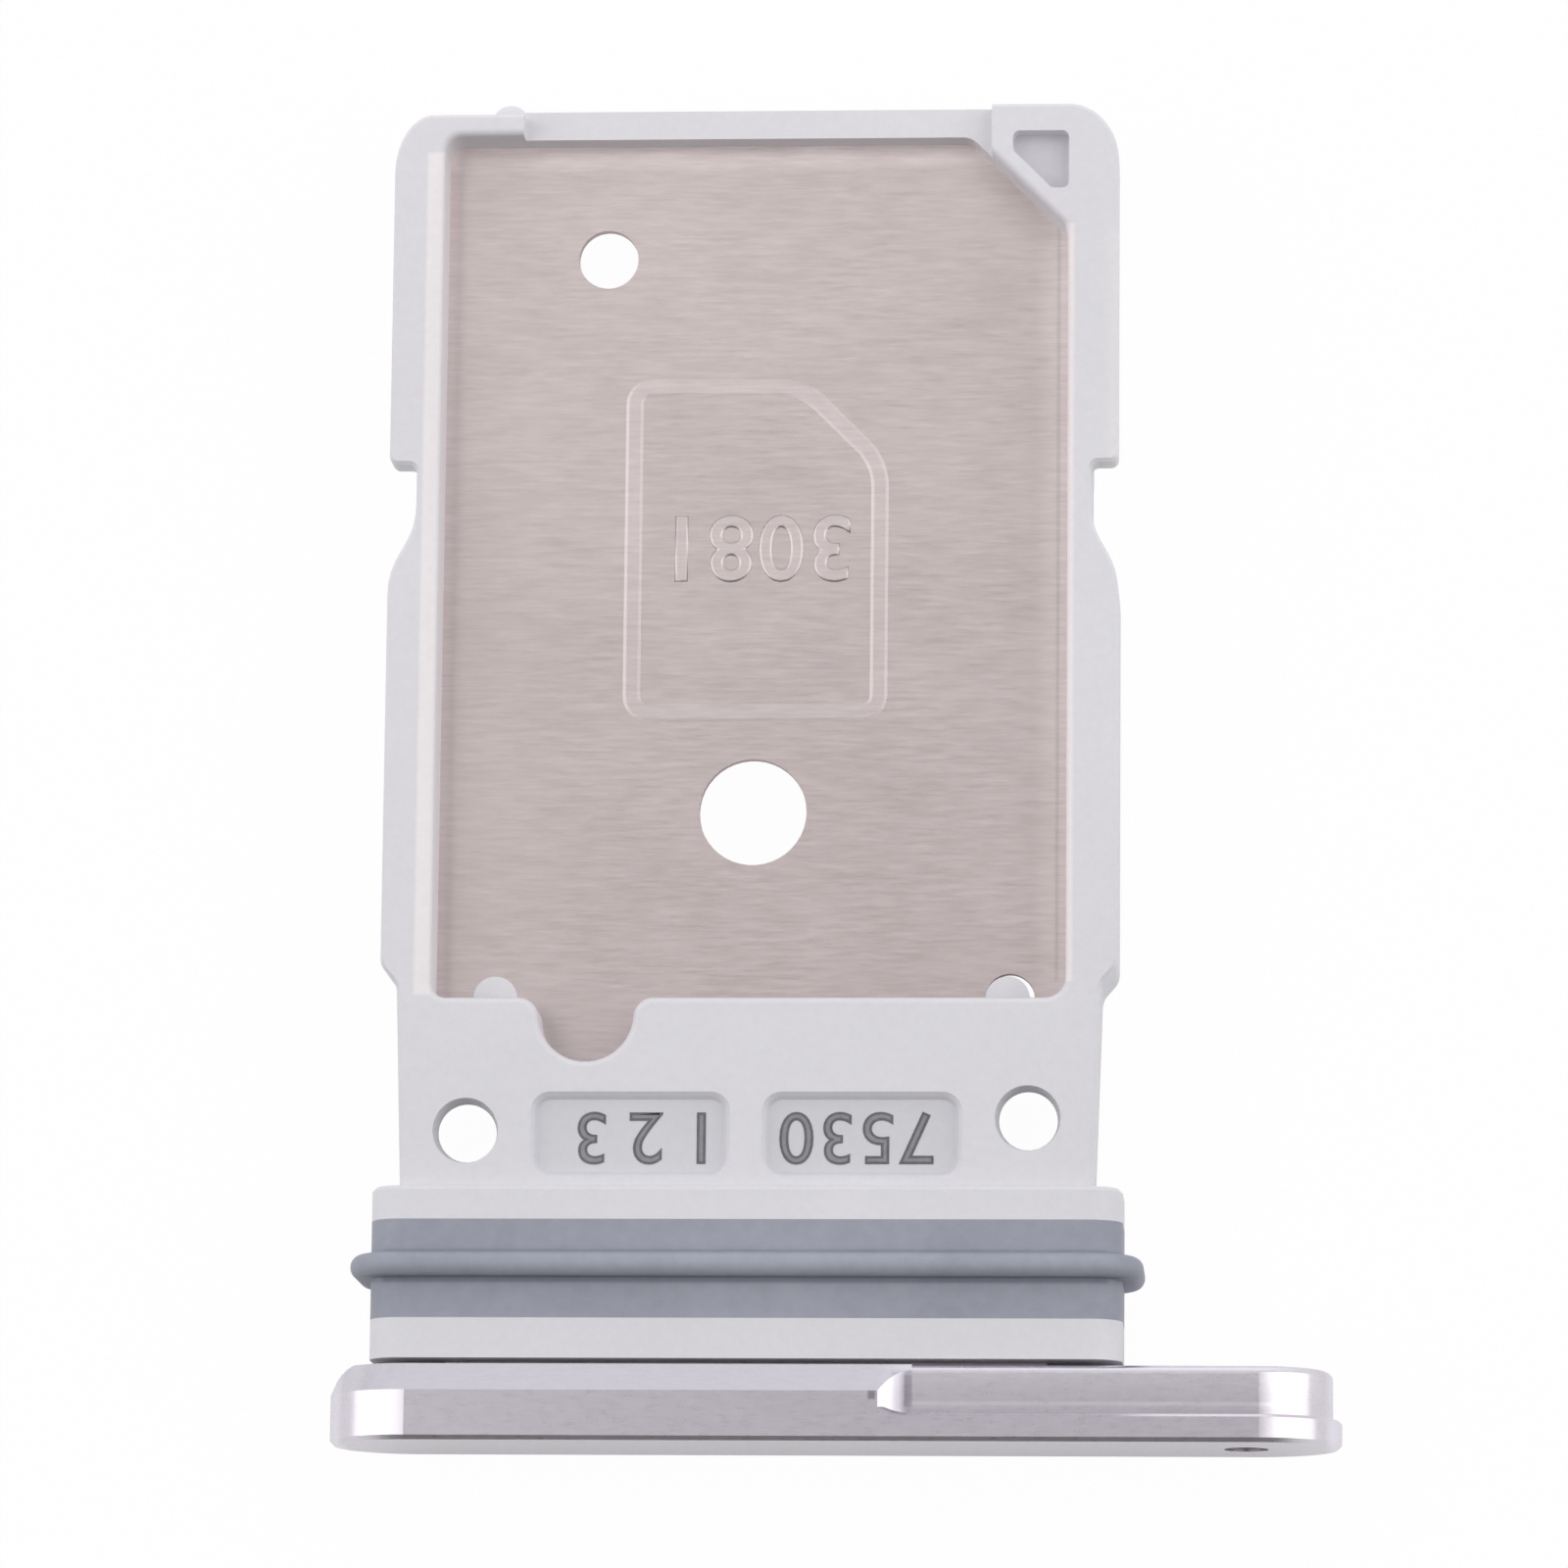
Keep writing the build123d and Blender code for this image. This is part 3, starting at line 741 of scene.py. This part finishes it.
def add_camera():
    """Camera that stands as the one that took the photograph."""
    toward_camera = Vector((math.tan(CAMERA_TILT_X), -math.tan(CAMERA_TILT_Y), 1)).normalized()
    level_right = Vector((0, 1, 0)).cross(toward_camera).normalized()
    level_up = toward_camera.cross(level_right)
    right = math.cos(CAMERA_ROLL) * level_right + math.sin(CAMERA_ROLL) * level_up
    up = math.cos(CAMERA_ROLL) * level_up - math.sin(CAMERA_ROLL) * level_right
    turn = Matrix((right, up, toward_camera)).transposed().to_4x4()
    data = bpy.data.cameras.new("photo_camera")
    data.sensor_width = SENSOR_WIDTH_MM
    data.lens = FOCAL_PX / PHOTO_SIDE_PX * SENSOR_WIDTH_MM
    data.clip_start = CLIP_START
    data.clip_end = CLIP_END
    camera = bpy.data.objects.new("photo_camera", data)
    bpy.context.scene.collection.objects.link(camera)
    camera.matrix_world = Matrix.Translation(Vector(CAMERA_TARGET) + CAMERA_DISTANCE * toward_camera) @ turn
    bpy.context.scene.camera = camera


def add_softbox(name, polar_deg, width_deg, length_deg, azimuth_deg):
    """A rectangular lamp that looks at the tray, given by where and how wide it stands as seen from there."""
    polar = math.radians(polar_deg)
    azimuth = math.radians(azimuth_deg)
    level = math.sin(polar)
    toward = Vector((level * math.cos(azimuth), level * math.sin(azimuth), math.cos(polar)))
    data = bpy.data.lights.new(name, "AREA")
    data.shape = "RECTANGLE"
    data.size = 2 * SOFTBOX_DISTANCE * math.tan(math.radians(length_deg) / 2)
    data.size_y = 2 * SOFTBOX_DISTANCE * math.tan(math.radians(width_deg) / 2)
    data.energy = SOFTBOX_POWER * data.size * data.size_y
    lamp = bpy.data.objects.new(name, data)
    bpy.context.scene.collection.objects.link(lamp)
    across = Vector((0, 0, 1)).cross(toward).normalized()
    upward = toward.cross(across)
    turn = Matrix((across, upward, toward)).transposed().to_4x4()
    lamp.matrix_world = Matrix.Translation(Vector((0, TRAY_MIDDLE_Y, 0)) + SOFTBOX_DISTANCE * toward) @ turn


def add_world():
    """Studio surroundings: brighter behind the tray than before it, and white where the camera sees them."""
    world = bpy.data.worlds.new("studio")
    bpy.context.scene.world = world
    world.use_nodes = True
    tree = world.node_tree
    background = tree.nodes["Background"]
    direction = tree.nodes.new("ShaderNodeTexCoord")
    parts = tree.nodes.new("ShaderNodeSeparateXYZ")
    tree.links.new(direction.outputs["Generated"], parts.inputs["Vector"])
    depth = tree.nodes.new("ShaderNodeMapRange")
    depth.inputs["From Min"].default_value = -1.0
    tree.links.new(parts.outputs["Y"], depth.inputs["Value"])
    walls = tree.nodes.new("ShaderNodeValToRGB")
    stops = walls.color_ramp.elements
    stops[0].color = FRONT_WALL_COLOUR
    stops[1].color = BACK_WALL_COLOUR
    for position, colour in WALL_COLOURS:
        stops.new(position).color = colour
    tree.links.new(depth.outputs["Result"], walls.inputs["Fac"])
    seen = tree.nodes.new("ShaderNodeLightPath")
    colour = tree.nodes.new("ShaderNodeMix")
    colour.data_type = "RGBA"
    tree.links.new(seen.outputs["Is Camera Ray"], colour.inputs["Factor"])
    tree.links.new(walls.outputs["Color"], colour.inputs[COLOUR_A])
    colour.inputs[COLOUR_B].default_value = WHITE
    tree.links.new(colour.outputs[COLOUR_RESULT], background.inputs["Color"])
    strength = tree.nodes.new("ShaderNodeMapRange")
    strength.inputs["To Min"].default_value = WALL_BRIGHTNESS
    strength.inputs["To Max"].default_value = 1
    tree.links.new(seen.outputs["Is Camera Ray"], strength.inputs["Value"])
    tree.links.new(strength.outputs["Result"], background.inputs["Strength"])


def add_floor():
    """White floor under the tray. The camera sees it nearly white, with a faint shadow."""
    deselect_all()
    bpy.ops.mesh.primitive_plane_add(size=FLOOR_SIZE, location=(0, TRAY_MIDDLE_Y, cad_bounds[0][2]))
    floor = bpy.context.active_object
    floor.name = "floor"
    material = bpy.data.materials.new("white_floor")
    material.use_nodes = True
    tree = material.node_tree
    shader = tree.nodes["Principled BSDF"]
    shader.inputs["Base Color"].default_value = FLOOR_COLOUR
    shader.inputs["Roughness"].default_value = 0.9
    shader.inputs["Specular IOR Level"].default_value = 0.0
    glow = tree.nodes.new("ShaderNodeEmission")
    seen = tree.nodes.new("ShaderNodeLightPath")
    in_metal = tree.nodes.new("ShaderNodeMath")
    in_metal.operation = "MULTIPLY"
    in_metal.inputs[1].default_value = FLOOR_GLOW_IN_METAL
    tree.links.new(seen.outputs["Is Glossy Ray"], in_metal.inputs[0])
    share = tree.nodes.new("ShaderNodeMath")
    share.operation = "MULTIPLY_ADD"
    share.inputs[1].default_value = FLOOR_GLOW_SEEN
    tree.links.new(seen.outputs["Is Camera Ray"], share.inputs[0])
    tree.links.new(in_metal.outputs["Value"], share.inputs[2])
    mix = tree.nodes.new("ShaderNodeMixShader")
    tree.links.new(share.outputs["Value"], mix.inputs["Fac"])
    tree.links.new(shader.outputs["BSDF"], mix.inputs[1])
    tree.links.new(glow.outputs["Emission"], mix.inputs[2])
    tree.links.new(mix.outputs["Shader"], tree.nodes["Material Output"].inputs["Surface"])
    floor.data.materials.append(material)


add_camera()
add_world()
add_floor()
add_softbox("left_softbox", polar_deg=49.5, width_deg=71, length_deg=56, azimuth_deg=180)
add_softbox("right_softbox", polar_deg=49, width_deg=70, length_deg=56, azimuth_deg=0)
bpy.context.scene.view_settings.view_transform = "Standard"
